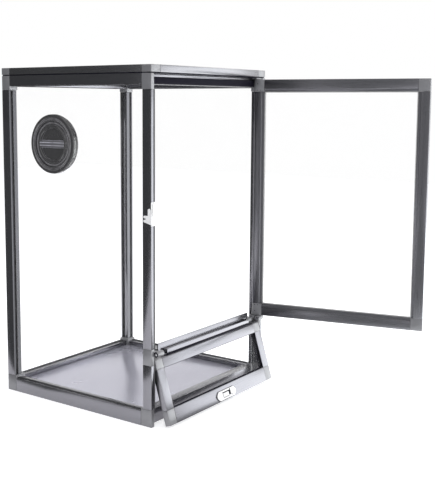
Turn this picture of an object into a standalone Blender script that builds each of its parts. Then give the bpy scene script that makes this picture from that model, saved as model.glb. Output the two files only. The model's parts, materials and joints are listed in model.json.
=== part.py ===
"""A display cage for a small reptile, standing on its base with its front towards -Y.

Grooved aluminium posts and rails meet in moulded corner blocks and hold clear panels and
a floor. A tall door hangs at the right of the front, a feeding flap hangs under the
middle rail, and a framed mesh lid lifts off the top. The left panel carries a round port
with a twist cap.

The cage is drawn from the middle of its front plane on the ground: x to the right, y to
the back, z up, in metres. Each leaf is drawn about its own hinge and then swung open.
"""

import math

import bmesh
import bpy
from mathutils import Matrix, Vector

# Overall size
WIDTH = 0.465
DEPTH = 0.460
HEIGHT = 0.800

# Clearances
FIT = 0.0003  # between pieces that touch
LEAF_GAP = 0.0015  # beside the door's free edge and the flap
HINGE_SIDE = 0.0027  # beside the door's hinge edge
LEAF_REVEAL = 0.0006  # the leaves lie this far behind the front plane
OVERCUT = 0.001  # how far a recess's cutter stands outside the post

# Posts and rails
SECTION = 0.024  # side of a post or a top rail
STRIP = 0.013  # front strip of a front post
REBATE = 0.016  # depth of the seat behind the strips
CHAMFER = 0.003  # inner edge of a strip, which the opening door passes
CHAMFER_ANGLE = 45
BASE_RAIL = 0.034  # height of the bottom rails
CHANNEL = 0.0025  # hollow in the face of the front top rail
LIP = 0.007  # lip above that hollow
WALL = 0.0025  # wall outside a bore
BORE = 0.011  # side of the square bore in a post or rail
POST_WALL = 0.0035  # wall of a front post's strip
POST_BORE_DEPTH = 0.009
PIN_HOLE = 0.00525  # depth of the flap pin's hole in a post
TOP_FRONT_BORE = 0.0045  # thickness of the bore in the front top rail
BASE_FRONT_BORE = 0.0085  # thickness of the bore in the front bottom rail

# Panels and the grooves that hold them
PANEL = 0.004
FLOOR = 0.004
FLOOR_TOP = 0.022
GROOVE_DEPTH = 0.006
PANEL_INSET = 0.006  # from the outer face of a rail to its groove

# Corner blocks
TOP_BLOCK = 0.026  # length along a rail
TOP_BLOCK_HEIGHT = 0.034
BASE_BLOCK = 0.030
BASE_BLOCK_HEIGHT = 0.040
SPIGOT = 0.014  # length of the stub in a bore
SPIGOT_ROOT = 0.0035  # of the stub inside its block

# Middle rail and the tees that carry it
BAR_LOW = 0.1555
BAR = 0.0115  # height of the bar between door and flap
BAR_FRONT = 0.002
BAR_INSET = 0.0605  # from the side of the cage to the end of the front bar
MID_INSET = 0.0445  # from the side of the cage to the end of the rail behind it
MID_DEPTH = 0.021  # of the rail behind its flange
FLANGE = 0.003
FLANGE_RISE = 0.013  # of the flange above the bar
MID_WALL = 0.0025
TEE_BELOW = 0.0145  # of a tee, below the bar
TEE_ABOVE = 0.011
TEE_WALL = 0.0015  # of the sleeve round the post
ARM_DROP = 0.002  # top of the arm below the middle rail's top
ARM_ROOT = 0.003  # of the arm inside the sleeve
ARM_SEAM = 0.0003  # the arm starts this far inside the sleeve's faces
BOSS = 0.0065  # radius of the round boss in front of a tee
BOSS_UP = 0.0105  # from the underside of the bar to the boss's centre
BOSS_START = 0.010  # from the side of the cage to the boss's outer end
BOSS_END = 0.032
BOSS_ROOT = 0.0015  # of the boss behind the front plane
STUD = 0.003  # radius of the stud in the boss's outer end
STUD_HEAD = 0.0009
BOSS_SIDES = 24

# Door and flap leaves
LEAF = 0.0146  # thickness
DOOR_SILL = 0.007  # between the bar and the bottom of the door
DOOR_HEAD = 0.0045  # from the top of the door to the top of the body
DOOR_STILE = 0.028
DOOR_RAIL = 0.030
DOOR_OPEN = 102.7
FLAP_LOW = 0.0008
FLAP_HEAD = 0.002  # between the flap and the middle rail
FLAP_RAIL_TOP = 0.026
FLAP_RAIL_LOW = 0.034
FLAP_STILE = 0.026
FLAP_OPEN = 17.25
BEAD = 0.006  # width of the lip beside a leaf's pane
BEAD_DROP = 0.003
BEAD_SLOPE = 0.0008
PANE_FRONT = 0.0036  # from a leaf's outer face to its groove
LEAF_WALL = 0.003
LEAF_BORE = 0.0086
LEAF_BORE_START = 0.0045
LEAF_BORE_WIDTH = 0.011
PIN = 0.0025  # radius of a hinge pin
PIN_PLAY = 0.0003
PIN_ROOT = 0.010
HINGE_PLATE = 0.0035  # thickness of the plate over the door
HINGE_FOOT = 0.0055  # thickness of the bracket under the door
HINGE_FOOT_GAP = 0.0015
HINGE_REACH = 0.0115  # of plate and bracket past the pivot
FLAP_PIN_REACH = 0.0032  # of a pin into tee and post

# Lid
LID = 0.016
LID_GAP = 0.0025  # shadow gap under the lid's edge
LID_RAIL = 0.026
LID_STEP = 0.012  # width of the raised edge
LID_CORNER = 0.032  # length of a lid corner along the front
LID_GROOVE = 0.005
LID_WALL = 0.004
MESH_SHEET = 0.0012
MESH_LEVEL = 0.006  # from the outer underside of the lid to the sheet
MESH_GAPS = 15
MESH_WIRE = 0.003
MESH_RIM = 0.009

# Port in the left panel
PORT_FROM_BACK = 0.077  # between the port's drum and the back post
PORT_FROM_TOP = 0.0665  # between the port's drum and the top rail
PORT_HOLE = 0.052  # radii
PORT_DRUM = 0.069
PORT_NUT = 0.066
PORT_BORE = 0.049
PORT_SEAT = 0.054
PORT_RISE = 0.0115  # of the drum above the panel
PORT_ROUND = 0.003  # rounding of the drum's edge
PORT_LAND = 0.005  # flat face inside that edge
PORT_RIDGE = 0.003  # width of the ridge round the seat
PORT_HOLLOW = 0.002  # depth of the hollow between land and ridge
PORT_BANK = 0.0012  # width of the hollow's slopes
PORT_NUT_THICK = 0.003
PORT_SEAT_DROP = 0.006
CAP_RING = 0.041  # radius of the cap's round ring
CAP_RIM = 0.0035  # half the width of that ring
CAP_REVEAL = 0.003  # the cap's flat lies this far below the drum's face
CAP_DISH = 0.0055  # depth of the dish inside the ring
CAP_WALL = 0.003
CAP_SKIRT = 0.0045
CAP_BAR = 0.018
CAP_BAR_CREST = 0.007  # width of the bar's crest
CAP_BAR_DROP = 0.0005  # of that crest below the ring's
CAP_BAR_FOOT = 0.0015  # height of the bar's upright sides
PORT_SIDES = 48

# Door latch on the near post
LATCH_HEIGHT = 0.480  # of the lever's pivot
LATCH_BELOW = 0.027  # of the clip's plate, from the pivot
LATCH_ABOVE = 0.025
LATCH_SHEET = 0.0016
LATCH_INSET = 0.0009  # from the clip's edge to the edge of the strip
LEVER = 0.0017
LEVER_HUB = 0.0058
LEVER_ARM = 0.024
LEVER_HALF = 0.004
LEVER_PIN = 0.0022
HUB_START = 140  # the hub's round edge leaves the arm at these angles
HUB_END = 400
WING_BELOW = 0.0195  # from the pivot to the lower edge of the fork
WING_HEEL = 0.0245  # from the pivot to the wing's lower end at the front
PRONG = 0.003  # radius of a prong's tip
PRONG_BACK = 0.0178  # from the front plane to the middle of a tip
PRONG_GAP = 0.0027
FORK_ROOT = 0.0145  # from the front plane to the foot of the gap
FINGER = 0.0037  # radius of the finger's tip
FINGER_BACK = 0.0046
FINGER_TOP = 0.011  # from the pivot to the top of the finger

# Latch of the flap
PLATE_WIDTH = 0.078
PLATE_HEIGHT = 0.022
PLATE_UP = 0.0135  # from the flap's lower edge to the plate's middle
PLATE_ASIDE = 0.009  # from the flap's middle to the plate's, to the right
PLATE_THICK = 0.003
PLATE_CORNER = 0.008
SLOT_WIDTH = 0.034
SLOT_HEIGHT = 0.010
SLOT_DEPTH = 0.0016
BUTTON_WIDTH = 0.022
BUTTON_RISE = 0.0022

HALF = WIDTH / 2
GROOVE = PANEL + 2 * FIT
BODY_TOP = HEIGHT - LID - LID_GAP
TOP_RAIL_LOW = BODY_TOP - SECTION
BAR_HIGH = BAR_LOW + BAR
FLANGE_TOP = BAR_HIGH + FLANGE_RISE
TEE_LOW = BAR_LOW - TEE_BELOW
TEE_HIGH = BAR_HIGH + TEE_ABOVE
DOOR_LOW = BAR_HIGH + DOOR_SILL
BAR_END = HALF - BAR_INSET
MID_END = HALF - MID_INSET
PIVOT_BACK = LEAF_REVEAL + LEAF / 2
DOOR_PIVOT = HALF - STRIP - HINGE_SIDE - LEAF / 2
DOOR_TOP = BODY_TOP - DOOR_HEAD
DOOR_FREE = -(HALF - STRIP - LEAF_GAP)
FLAP_TOP = BAR_LOW - FLAP_HEAD
FLAP_PIVOT = FLAP_TOP - LEAF / 2
FLAP_LENGTH = 2 * (HALF - STRIP - LEAF_GAP)
PORT_BACK = DEPTH - SECTION - PORT_FROM_BACK - PORT_DRUM
PORT_HEIGHT = TOP_RAIL_LOW - PORT_FROM_TOP - PORT_DRUM
ORIGIN = Vector((0, REBATE + SECTION / 2, 0))
SIDES = {"left": -1, "right": 1}

FINISHES = {
    "frame": ((0.23, 0.23, 0.25), 0.38, 0.85),
    "block": ((0.24, 0.24, 0.25), 0.50, 0.10),
    "leaf": ((0.20, 0.20, 0.21), 0.40, 0.80),
    "acrylic": ((0.92, 0.94, 0.96), 0.05, 0.00),
    "floor": ((0.55, 0.55, 0.60), 0.35, 0.00),
    "port": ((0.045, 0.045, 0.05), 0.40, 0.00),
    "latch": ((0.85, 0.86, 0.88), 0.25, 0.60),
    "mesh": ((0.10, 0.10, 0.11), 0.45, 0.70),
}
PLACES = {}


def finish(name):
    """The material of that name, made when it is first asked for."""
    found = bpy.data.materials.get(name)
    if found:
        return found
    colour, roughness, metallic = FINISHES[name]
    made = bpy.data.materials.new(name)
    made.use_nodes = True
    shader = made.node_tree.nodes["Principled BSDF"]
    shader.inputs["Base Color"].default_value = (*colour, 1)
    shader.inputs["Roughness"].default_value = roughness
    shader.inputs["Metallic"].default_value = metallic
    if name == "acrylic":
        shader.inputs["Transmission Weight"].default_value = 0.95
    return made


def carrier(name, at, parent=None, turn=None):
    """An empty that carries the pieces of one body, on its joint's axis."""
    empty = bpy.data.objects.new(name, None)
    empty.empty_display_size = 0.02
    bpy.context.collection.objects.link(empty)
    empty.parent = parent
    at = Vector(at)
    if parent:
        empty.location = at - PLACES[parent.name]
    if turn:
        empty.rotation_euler = turn.to_euler()
    PLACES[name] = Vector() if turn else at
    return empty


def solid(name, mesh, look, holder):
    """An object from a bmesh drawn in the holder's coordinates."""
    bmesh.ops.translate(mesh, verts=mesh.verts, vec=-PLACES[holder.name])
    bmesh.ops.recalc_face_normals(mesh, faces=mesh.faces)
    data = bpy.data.meshes.new(name)
    mesh.to_mesh(data)
    mesh.free()
    made = bpy.data.objects.new(name, data)
    bpy.context.collection.objects.link(made)
    made.parent = holder
    data.materials.append(finish(look))
    return made


def prism(name, along, outline, span, look, holder, holes=()):
    """An outline, with any holes, extruded along x, y or z. Its two numbers are the other axes."""
    place = {
        "x": lambda a, b, s: (s, a, b),
        "y": lambda a, b, s: (a, s, b),
        "z": lambda a, b, s: (a, b, s),
    }[along]
    low, high = sorted(span)
    mesh = bmesh.new()
    edges = []
    for loop in (outline, *holes):
        ring = [mesh.verts.new(place(a, b, low)) for a, b in loop]
        edges += [mesh.edges.new(pair) for pair in zip(ring, ring[1:] + ring[:1])]
    bmesh.ops.triangle_fill(mesh, use_beauty=True, edges=edges)
    grown = bmesh.ops.extrude_face_region(mesh, geom=list(mesh.faces))["geom"]
    moved = [piece for piece in grown if isinstance(piece, bmesh.types.BMVert)]
    bmesh.ops.translate(mesh, verts=moved, vec=place(0, 0, high - low))
    return solid(name, mesh, look, holder)


def turned(name, profile, centre, look, holder, sides=PORT_SIDES):
    """A profile of radius and height turned about the line along -x through the centre."""
    mesh = bmesh.new()
    rings = []
    for radius, height in profile:
        steps = sides if radius else 1
        turns = [2 * math.pi * step / steps for step in range(steps)]
        spots = [(-height, radius * math.cos(t), radius * math.sin(t)) for t in turns]
        rings.append([mesh.verts.new(Vector(spot) + Vector(centre)) for spot in spots])
    pairs = list(zip(rings, rings[1:]))
    if profile[0][0]:
        pairs.append((rings[-1], rings[0]))
    for first, second in pairs:
        for step in range(sides):
            corners = []
            for ring, place in ((first, step), (first, step + 1), (second, step + 1), (second, step)):
                corner = ring[place % len(ring)]
                if corner not in corners:
                    corners.append(corner)
            if len(corners) > 2:
                mesh.faces.new(corners)
    made = solid(name, mesh, look, holder)
    made.data.shade_smooth()
    made.data.set_sharp_from_angle(angle=math.radians(30))
    return made


def helper(owner, tool, operation):
    """Joins a helper shape to its owner, or cuts it out, and hides the helper."""
    tool.hide_render = True
    tool.display_type = "WIRE"
    change = owner.modifiers.new(tool.name, "BOOLEAN")
    change.operation = operation
    change.solver = "EXACT"
    change.object = tool


def join(owner, along, outline, span, holder):
    """Adds an extruded outline to a piece."""
    tool = prism(owner.name + "_add", along, outline, span, "block", holder)
    helper(owner, tool, "UNION")


def cut(owner, along, outline, span, holder):
    """Cuts an extruded outline out of a piece."""
    tool = prism(owner.name + "_cut", along, outline, span, "block", holder)
    helper(owner, tool, "DIFFERENCE")


def rectangle(a0, a1, b0, b1):
    """The four corners of a rectangle, from its two spans."""
    return [(a0, b0), (a1, b0), (a1, b1), (a0, b1)]


def circle(a, b, radius, sides=16):
    """The corners of a round outline."""
    steps = [2 * math.pi * step / sides for step in range(sides)]
    return [(a + radius * math.cos(t), b + radius * math.sin(t)) for t in steps]


def arc(a, b, radius, start, end, steps=8):
    """Points from one angle to another, in degrees."""
    turns = [math.radians(start + (end - start) * step / steps) for step in range(steps + 1)]
    return [(a + radius * math.cos(t), b + radius * math.sin(t)) for t in turns]


def shrunk(bore):
    """A bore's rectangle, less the clearance all round, for the stub that goes in it."""
    a = [point[0] for point in bore]
    b = [point[1] for point in bore]
    return rectangle(min(a) + FIT, max(a) - FIT, min(b) + FIT, max(b) - FIT)


def notched(a0, a1, b0, b1, low, high):
    """A rectangle whose four corners are cut square, by low at b0 and by high at b1."""
    return [
        (a0 + low[0], b0), (a1 - low[0], b0), (a1 - low[0], b0 + low[1]), (a1, b0 + low[1]),
        (a1, b1 - high[1]), (a1 - high[0], b1 - high[1]), (a1 - high[0], b1),
        (a0 + high[0], b1), (a0 + high[0], b1 - high[1]), (a0, b1 - high[1]),
        (a0, b0 + low[1]), (a0 + low[0], b0 + low[1]),
    ]


def grooved(width, height, top=None, bottom=None, inner=None):
    """A rail's section, from its outer face inwards and up, with the panel grooves asked for."""
    points = [(0, 0)]
    if bottom is not None:
        points += [(bottom, 0), (bottom, GROOVE_DEPTH)]
        points += [(bottom + GROOVE, GROOVE_DEPTH), (bottom + GROOVE, 0)]
    points.append((width, 0))
    if inner is not None:
        points += [(width, inner), (width - GROOVE_DEPTH, inner)]
        points += [(width - GROOVE_DEPTH, inner + GROOVE), (width, inner + GROOVE)]
    points.append((width, height))
    if top is not None:
        points += [(top + GROOVE, height), (top + GROOVE, height - GROOVE_DEPTH)]
        points += [(top, height - GROOVE_DEPTH), (top, height)]
    points.append((0, height))
    return points


def face_frame(where):
    """The direction of a side's rails, and how a place in from its face, and up, is written."""
    if where in SIDES:
        return "y", lambda u, v: (SIDES[where] * (HALF - u), v)
    if where == "back":
        return "x", lambda u, v: (DEPTH - u, v)
    return "x", lambda u, v: (REBATE + u, v)


def placed(where, points, base=0.0):
    """Points of a side's section, from its outer face inwards and up from a base."""
    write = face_frame(where)[1]
    return [write(u, v + base) for u, v in points]


def in_plan(side, points):
    """Points from a side's outer face inwards, and from the front plane back, as x and y."""
    return [(SIDES[side] * (HALF - u), v) for u, v in points]


def rail_bore(where, level):
    """The bore of one rail, from its outer face and its underside."""
    if where == "front" and level == "top":
        start = CHANNEL + FLANGE / 2
        return rectangle(start, start + TOP_FRONT_BORE, GROOVE_DEPTH, GROOVE_DEPTH + BORE)
    if where == "front":
        return rectangle(WALL, WALL + BASE_FRONT_BORE, WALL, WALL + BORE)
    low = GROOVE_DEPTH + WALL if level == "top" else WALL
    return rectangle(WALL, WALL + BORE, low, low + BORE)


def post_bore(end):
    """The bore of a post in plan, from its outer faces."""
    if end == "back":
        return rectangle(WALL, WALL + BORE, DEPTH - WALL - BORE, DEPTH - WALL)
    return rectangle(POST_WALL, STRIP - POST_WALL, POST_WALL, POST_WALL + POST_BORE_DEPTH)


def front_section(depth, groove=False):
    """Plan of a front post or block: a strip in front, and behind it the seat of the leaves."""
    points = [(0, 0), (STRIP - CHAMFER, 0), (STRIP, CHAMFER), (STRIP, REBATE)]
    points += [(SECTION, REBATE), (SECTION, depth)]
    if groove:
        start, end = PANEL_INSET, PANEL_INSET + GROOVE
        points += [(end, depth), (end, depth - GROOVE_DEPTH)]
        points += [(start, depth - GROOVE_DEPTH), (start, depth)]
    return points + [(0, depth)]


def posts(cage):
    """The four posts. Those in front have a seat for the leaves and a recess for the tee."""
    low = BASE_BLOCK_HEIGHT + FIT
    high = BODY_TOP - TOP_BLOCK_HEIGHT - FIT
    back = grooved(SECTION, SECTION, top=PANEL_INSET, inner=PANEL_INSET)
    back = [(u, DEPTH - v) for u, v in back]
    made = {}
    for side in SIDES:
        bore = in_plan(side, post_bore("front"))
        outline = in_plan(side, front_section(SECTION, groove=True))
        name = "post_front_" + side
        made[side] = prism(name, "z", outline, (low, high), "frame", cage, [bore])
        recess = in_plan(side, sleeve(outside=True))
        cut(made[side], "z", recess, (TEE_LOW - FIT, TEE_HIGH + FIT), cage)
        wall = SIDES[side] * (HALF - STRIP)
        hole = circle(PIVOT_BACK, FLAP_PIVOT, PIN + PIN_PLAY)
        cut(made[side], "x", hole, (wall, wall + SIDES[side] * PIN_HOLE), cage)
        bore = in_plan(side, post_bore("back"))
        prism("post_back_" + side, "z", in_plan(side, back), (low, high), "frame", cage, [bore])


def sleeve(outside=False):
    """Plan of the tee's sleeve round a post, or of the recess that it lies in."""
    wall = TEE_WALL + (FIT if outside else 0)
    over = OVERCUT if outside else 0
    slant = wall * math.tan(math.radians(CHAMFER_ANGLE / 2))
    outer = [(-over, SECTION + over), (-over, -over)]
    if outside:
        outer += [(STRIP + over, -over), (STRIP + over, REBATE - over)]
    else:
        outer += [(STRIP - CHAMFER, 0), (STRIP, CHAMFER), (STRIP, REBATE)]
    outer += [(SECTION + over, REBATE - over), (SECTION + over, REBATE + wall)]
    inner = [(STRIP - wall, REBATE + wall), (STRIP - wall, CHAMFER + slant)]
    inner += [(STRIP - CHAMFER - slant, wall), (wall, wall), (wall, SECTION + over)]
    return outer + inner


def rails(cage):
    """The top and bottom rails, with grooves for the panels and the floor."""
    top = grooved(SECTION, SECTION, bottom=PANEL_INSET)
    floor_groove = FLOOR_TOP - FLOOR - FIT
    base = [(0, 0), (SECTION, 0)]
    base += [(SECTION, floor_groove), (SECTION - GROOVE_DEPTH, floor_groove)]
    base += [(SECTION - GROOVE_DEPTH, FLOOR_TOP + FIT), (SECTION, FLOOR_TOP + FIT)]
    base.append((SECTION, BASE_RAIL))
    groove_end = PANEL_INSET + GROOVE
    panel_groove = [(groove_end, BASE_RAIL), (groove_end, BASE_RAIL - GROOVE_DEPTH)]
    panel_groove += [(PANEL_INSET, BASE_RAIL - GROOVE_DEPTH), (PANEL_INSET, BASE_RAIL)]
    lipped = [(CHANNEL, 0), (SECTION, 0), (SECTION, SECTION), (0, SECTION)]
    lipped += [(0, SECTION - LIP), (CHANNEL, SECTION - LIP - CHANNEL / 2)]
    for where in ("front", "back", "left", "right"):
        along = face_frame(where)[0]
        for level, low, block in (("top", TOP_RAIL_LOW, TOP_BLOCK), ("bottom", 0, BASE_BLOCK)):
            if level == "top":
                outline = lipped if where == "front" else top
            else:
                outline = base + ([] if where == "front" else panel_groove) + [(0, BASE_RAIL)]
            if where in SIDES:
                span = (block + FIT, DEPTH - block - FIT)
            else:
                reach = HALF - (SECTION if where == "front" else block) - FIT
                span = (-reach, reach)
            bore = placed(where, rail_bore(where, level), low)
            name = level + "_rail_" + where
            prism(name, along, placed(where, outline, low), span, "frame", cage, [bore])


def spigot(block, where, level, low, face, outward, cage):
    """The stub of a corner block in the end of one rail."""
    along = face_frame(where)[0]
    outline = shrunk(placed(where, rail_bore(where, level), low))
    join(block, along, outline, (face - outward * SPIGOT_ROOT, face + outward * SPIGOT), cage)


def corner_blocks(cage):
    """The eight blocks, each with stubs in a post and in two rails. Returns those in front."""
    made = {}
    for level, low, size, height in (
        ("top", BODY_TOP - TOP_BLOCK_HEIGHT, TOP_BLOCK, TOP_BLOCK_HEIGHT),
        ("bottom", 0, BASE_BLOCK, BASE_BLOCK_HEIGHT),
    ):
        rail_low = TOP_RAIL_LOW if level == "top" else 0
        for side, sign in SIDES.items():
            for end in ("front", "back"):
                if end == "front":
                    outline = front_section(size)
                    inner, rear, outward = SECTION, size, 1
                else:
                    outline = rectangle(0, size, DEPTH - size, DEPTH)
                    inner, rear, outward = size, DEPTH - size, -1
                name = f"{level}_corner_{end}_{side}"
                block = prism(name, "z", in_plan(side, outline), (low, low + height), "block", cage)
                spigot(block, side, level, rail_low, rear, outward, cage)
                spigot(block, end, level, rail_low, sign * (HALF - inner), -sign, cage)
                stub = shrunk(in_plan(side, post_bore(end)))
                face, up = (low, -1) if level == "top" else (low + height, 1)
                join(block, "z", stub, (face - up * SPIGOT_ROOT, face + up * SPIGOT), cage)
                made[level, end, side] = block
    return made


def middle_rail(cage):
    """The flanged rail between door and flap, and the two tees with round bosses that hold it."""
    back = REBATE + FLANGE + MID_DEPTH
    outline = [(REBATE, BAR_LOW), (back, BAR_LOW), (back, BAR_HIGH), (REBATE + FLANGE, BAR_HIGH)]
    outline += [(REBATE + FLANGE, FLANGE_TOP), (REBATE, FLANGE_TOP)]
    bore = rectangle(REBATE + FLANGE, back - MID_WALL, BAR_LOW + MID_WALL, BAR_HIGH - MID_WALL)
    rail = prism("mid_rail", "x", outline, (-MID_END, MID_END), "frame", cage, [bore])
    bar = rectangle(BAR_FRONT, REBATE + FLANGE / 2, BAR_LOW, BAR_HIGH)
    join(rail, "x", bar, (-BAR_END, BAR_END), cage)
    made = {}
    for side, sign in SIDES.items():
        tee = prism("tee_" + side, "z", in_plan(side, sleeve()), (TEE_LOW, TEE_HIGH), "block", cage)
        inner = HALF - MID_END - FIT
        arm = [(SECTION - ARM_ROOT, REBATE + ARM_SEAM), (inner, REBATE + ARM_SEAM)]
        arm += [(inner, back - MID_WALL / 2), (SECTION + FIT, back - MID_WALL / 2)]
        root = REBATE + TEE_WALL - ARM_SEAM
        arm += [(SECTION + FIT, root), (SECTION - ARM_ROOT, root)]
        join(tee, "z", in_plan(side, arm), (TEE_LOW + ARM_SEAM, BAR_HIGH - ARM_DROP), cage)
        face = sign * (MID_END + FIT)
        join(tee, "x", shrunk(bore), (face + sign * SPIGOT_ROOT, face - sign * SPIGOT), cage)
        hole = circle(PIVOT_BACK, FLAP_PIVOT, PIN + PIN_PLAY)
        wall = sign * (HALF - STRIP)
        cut(tee, "x", hole, (wall - sign * TEE_WALL, wall + sign * TEE_WALL * 2), cage)
        at = (BOSS_ROOT - BOSS, BAR_LOW + BOSS_UP)
        start, end = sign * (HALF - BOSS_START), sign * (HALF - BOSS_END)
        join(tee, "x", circle(*at, BOSS, BOSS_SIDES), (start, end), cage)
        join(tee, "x", circle(*at, STUD), (start + sign * STUD_HEAD, start - sign * STUD_HEAD), cage)
        made[side] = tee
    return made


def hinge_seats(top_block, tee, cage):
    """The plate over the door and the bracket under it, each with the hole of a hinge pin."""
    plan = rectangle(DOOR_PIVOT - HINGE_REACH, HALF - STRIP / 2, CHAMFER, REBATE - FIT)
    foot = rectangle(
        DOOR_PIVOT - HINGE_REACH, HALF - STRIP + TEE_WALL / 2, CHAMFER + TEE_WALL, REBATE + TEE_WALL / 2
    )
    hole = circle(DOOR_PIVOT, PIVOT_BACK, PIN + PIN_PLAY)
    join(top_block, "z", plan, (BODY_TOP - HINGE_PLATE, BODY_TOP - FIT), cage)
    cut(top_block, "z", hole, (BODY_TOP - HINGE_PLATE * 2, BODY_TOP + HINGE_PLATE), cage)
    high = DOOR_LOW - HINGE_FOOT_GAP
    join(tee, "z", foot, (high - HINGE_FOOT, high), cage)
    cut(tee, "z", hole, (high - HINGE_FOOT * 2, high + HINGE_FOOT), cage)


def panels(cage):
    """Left, right and back panels and the floor, cut round the corner blocks."""
    low = BASE_RAIL - GROOVE_DEPTH + FIT
    high = TOP_RAIL_LOW + GROOVE_DEPTH - FIT
    edge = SECTION - GROOVE_DEPTH + FIT
    low_cut = BASE_BLOCK_HEIGHT + FIT - low
    high_cut = high - (BODY_TOP - TOP_BLOCK_HEIGHT - FIT)
    cuts = ((BASE_BLOCK + FIT - edge, low_cut), (TOP_BLOCK + FIT - edge, high_cut))
    outer, inner = PANEL_INSET + FIT, PANEL_INSET + FIT + PANEL
    for side, sign in SIDES.items():
        outline = notched(edge, DEPTH - edge, low, high, *cuts)
        span = (sign * (HALF - outer), sign * (HALF - inner))
        holes = [circle(PORT_BACK, PORT_HEIGHT, PORT_HOLE, PORT_SIDES)] if side == "left" else []
        prism("panel_" + side, "x", outline, span, "acrylic", cage, holes)
    outline = notched(edge - HALF, HALF - edge, low, high, *cuts)
    prism("panel_back", "y", outline, (DEPTH - outer, DEPTH - inner), "acrylic", cage)
    block = BASE_BLOCK + FIT - edge
    front = REBATE + edge
    outline = [(edge - HALF, front), (HALF - edge, front)]
    outline += [(HALF - edge, DEPTH - edge - block), (HALF - edge - block, DEPTH - edge - block)]
    outline += [(HALF - edge - block, DEPTH - edge), (edge - HALF + block, DEPTH - edge)]
    outline += [(edge - HALF + block, DEPTH - edge - block), (edge - HALF, DEPTH - edge - block)]
    prism("floor_panel", "z", outline, (FLOOR_TOP - FLOOR, FLOOR_TOP), "floor", cage)


def leaf_section(width, rounded):
    """Section of a leaf's stile or rail, from its outer edge inwards and from its outer face back."""
    face, back = -LEAF / 2, LEAF / 2
    start, end = face + PANE_FRONT, face + PANE_FRONT + GROOVE
    points = [(width, face), (width, start), (width - GROOVE_DEPTH, start)]
    points += [(width - GROOVE_DEPTH, end), (width, end), (width, back - BEAD_DROP)]
    points += [(width - BEAD, back - BEAD_DROP), (width - BEAD - BEAD_SLOPE, back)]
    if rounded:
        return points + arc(LEAF / 2, 0, LEAF / 2, 90, 270)
    return points + [(0, back), (0, face)]


def leaf_bore():
    """The bore of a stile or rail, in the same terms as its section."""
    low = -LEAF / 2 + LEAF_WALL
    return rectangle(LEAF_BORE_START, LEAF_BORE_START + LEAF_BORE_WIDTH, low, low + LEAF_BORE)


def leaf(holder, names, across, length, hinge_width, free_width, end_width):
    """A framed pane about its hinge: x across it from the pivot, y back, z along the hinge."""
    start, end, half = -LEAF / 2, across - LEAF / 2, length / 2
    bore = leaf_bore()
    sides = (("hinge", hinge_width, lambda w: start + w), ("free", free_width, lambda w: end - w))
    ends = (("low", lambda w: -half + w), ("high", lambda w: half - w))
    made = {}
    for key, width, along in sides:
        outline = [(along(w), t) for w, t in leaf_section(width, key == "hinge")]
        hollow = [(along(w), t) for w, t in bore]
        reach = half - end_width - FIT
        made[key] = prism(names[key], "z", outline, (-reach, reach), "leaf", holder, [hollow])
    for key, up in ends:
        outline = [(t, up(w)) for w, t in leaf_section(end_width, False)]
        hollow = [(t, up(w)) for w, t in bore]
        span = (start + hinge_width + FIT, end - free_width - FIT)
        made[key] = prism(names[key], "x", outline, span, "leaf", holder, [hollow])
    for key, width, along in sides:
        for level, up in ends:
            if key == "hinge":
                plan = [(width, -LEAF / 2), (width, LEAF / 2)] + arc(LEAF / 2, 0, LEAF / 2, 90, 270)
            else:
                plan = rectangle(0, width, -LEAF / 2, LEAF / 2)
            plan = [(along(w), t) for w, t in plan]
            block = prism(names[key, level], "z", plan, (up(0), up(end_width)), "block", holder)
            stub = shrunk([(along(w), t) for w, t in bore])
            join(block, "z", stub, (up(end_width - SPIGOT_ROOT), up(end_width + SPIGOT)), holder)
            stub = shrunk([(t, up(w)) for w, t in bore])
            join(block, "x", stub, (along(width - SPIGOT_ROOT), along(width + SPIGOT)), holder)
            made[key, level] = block
    edge = GROOVE_DEPTH - FIT
    corner = (edge + FIT, edge + FIT)
    outline = notched(
        start + hinge_width - edge, end - free_width + edge,
        -half + end_width - edge, half - end_width + edge, corner, corner,
    )
    front = -LEAF / 2 + PANE_FRONT + FIT
    prism(names["pane"], "y", outline, (front, front + PANEL), "acrylic", holder)
    return made


def door(cage):
    """The tall door, drawn upside down about its hinge and turned upright and open."""
    length = DOOR_TOP - DOOR_LOW
    at = (DOOR_PIVOT, PIVOT_BACK, (DOOR_TOP + DOOR_LOW) / 2)
    turn = Matrix.Rotation(math.pi, 3, "Y") @ Matrix.Rotation(-math.radians(DOOR_OPEN), 3, "Z")
    holder = carrier("door_hinge", at, cage, turn)
    names = {
        "hinge": "door_stile_hinge", "free": "door_stile_free",
        "low": "door_rail_top", "high": "door_rail_bottom", "pane": "door_panel",
        ("hinge", "low"): "door_corner_top_hinge", ("hinge", "high"): "door_corner_bottom_hinge",
        ("free", "low"): "door_corner_top_free", ("free", "high"): "door_corner_bottom_free",
    }
    across = DOOR_PIVOT + LEAF / 2 - DOOR_FREE
    made = leaf(holder, names, across, length, DOOR_STILE, DOOR_STILE, DOOR_RAIL)
    pin = circle(0, 0, PIN)
    top = -(BODY_TOP - FIT - at[2])
    foot = at[2] - (DOOR_LOW - HINGE_FOOT_GAP - HINGE_FOOT + FIT)
    join(made["hinge", "low"], "z", pin, (top, -length / 2 + PIN_ROOT), holder)
    join(made["hinge", "high"], "z", pin, (length / 2 - PIN_ROOT, foot), holder)


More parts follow.
